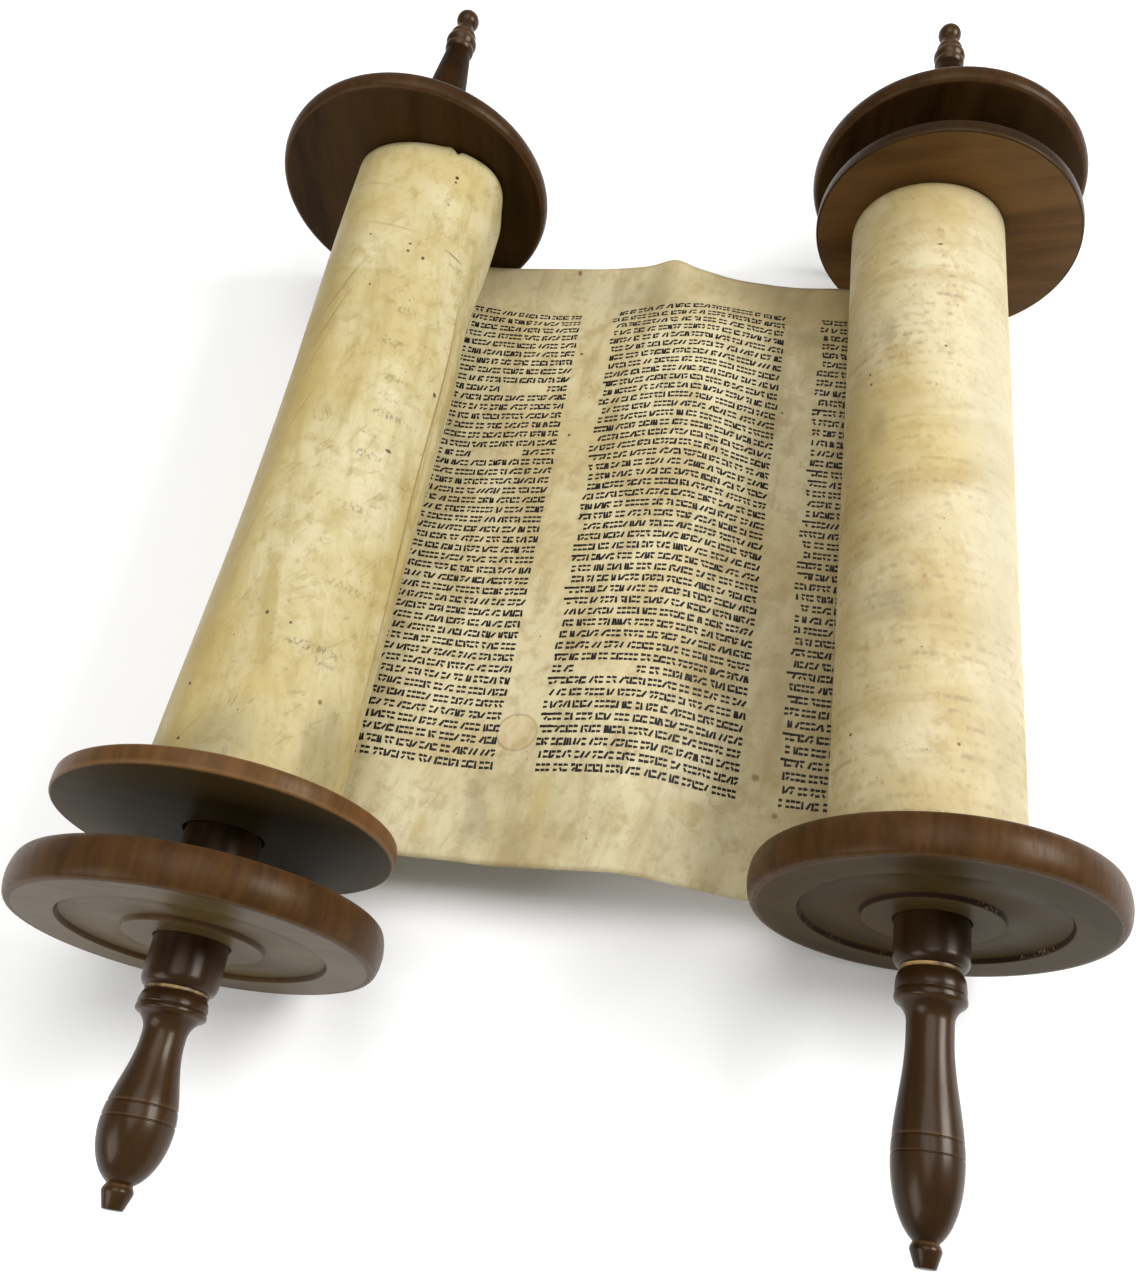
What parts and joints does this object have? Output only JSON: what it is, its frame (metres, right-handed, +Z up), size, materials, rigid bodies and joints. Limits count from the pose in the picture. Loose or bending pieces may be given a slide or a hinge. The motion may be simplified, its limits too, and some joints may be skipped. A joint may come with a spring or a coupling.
{
  "type": "torah scroll",
  "caption": "Open parchment scroll wound on two turned wooden rollers with round end discs, handles and finials; a loose disc slides on each pole.",
  "frame": {"origin": "on the table, under the middle of the overall box", "axes": "+Z up, +Y away from the reader along the rollers, with the handles at -Y, and +X to the reader's right"},
  "size_m": [0.5452, 0.8928, 0.1824],
  "materials": {
    "parchment": "matt parchment skin, cream with brown stains and black ink",
    "pole_wood": "very dark stained wood, glossy varnish",
    "disc_wood": "brown stained wood, satin varnish"
  },
  "bodies": {
    "scroll": {"parchment": "parchment", "left_pole": "pole_wood", "right_pole": "pole_wood", "left_lower_disc": "disc_wood", "right_lower_disc": "disc_wood", "left_upper_disc": "disc_wood", "right_upper_disc": "disc_wood"},
    "left_loose_disc": {"left_loose_disc": "disc_wood"},
    "right_loose_disc": {"right_loose_disc": "disc_wood"}
  },
  "joints": [
    {"name": "left_disc_slide", "type": "slide", "parent": "scroll", "child": "left_loose_disc", "axis": [0.0073, -1, 0], "range_m": [0, 0.033]},
    {"name": "right_disc_slide", "type": "slide", "parent": "scroll", "child": "right_loose_disc", "axis": [0.0073, 1, 0], "range_m": [0, 0.028]}
  ]
}
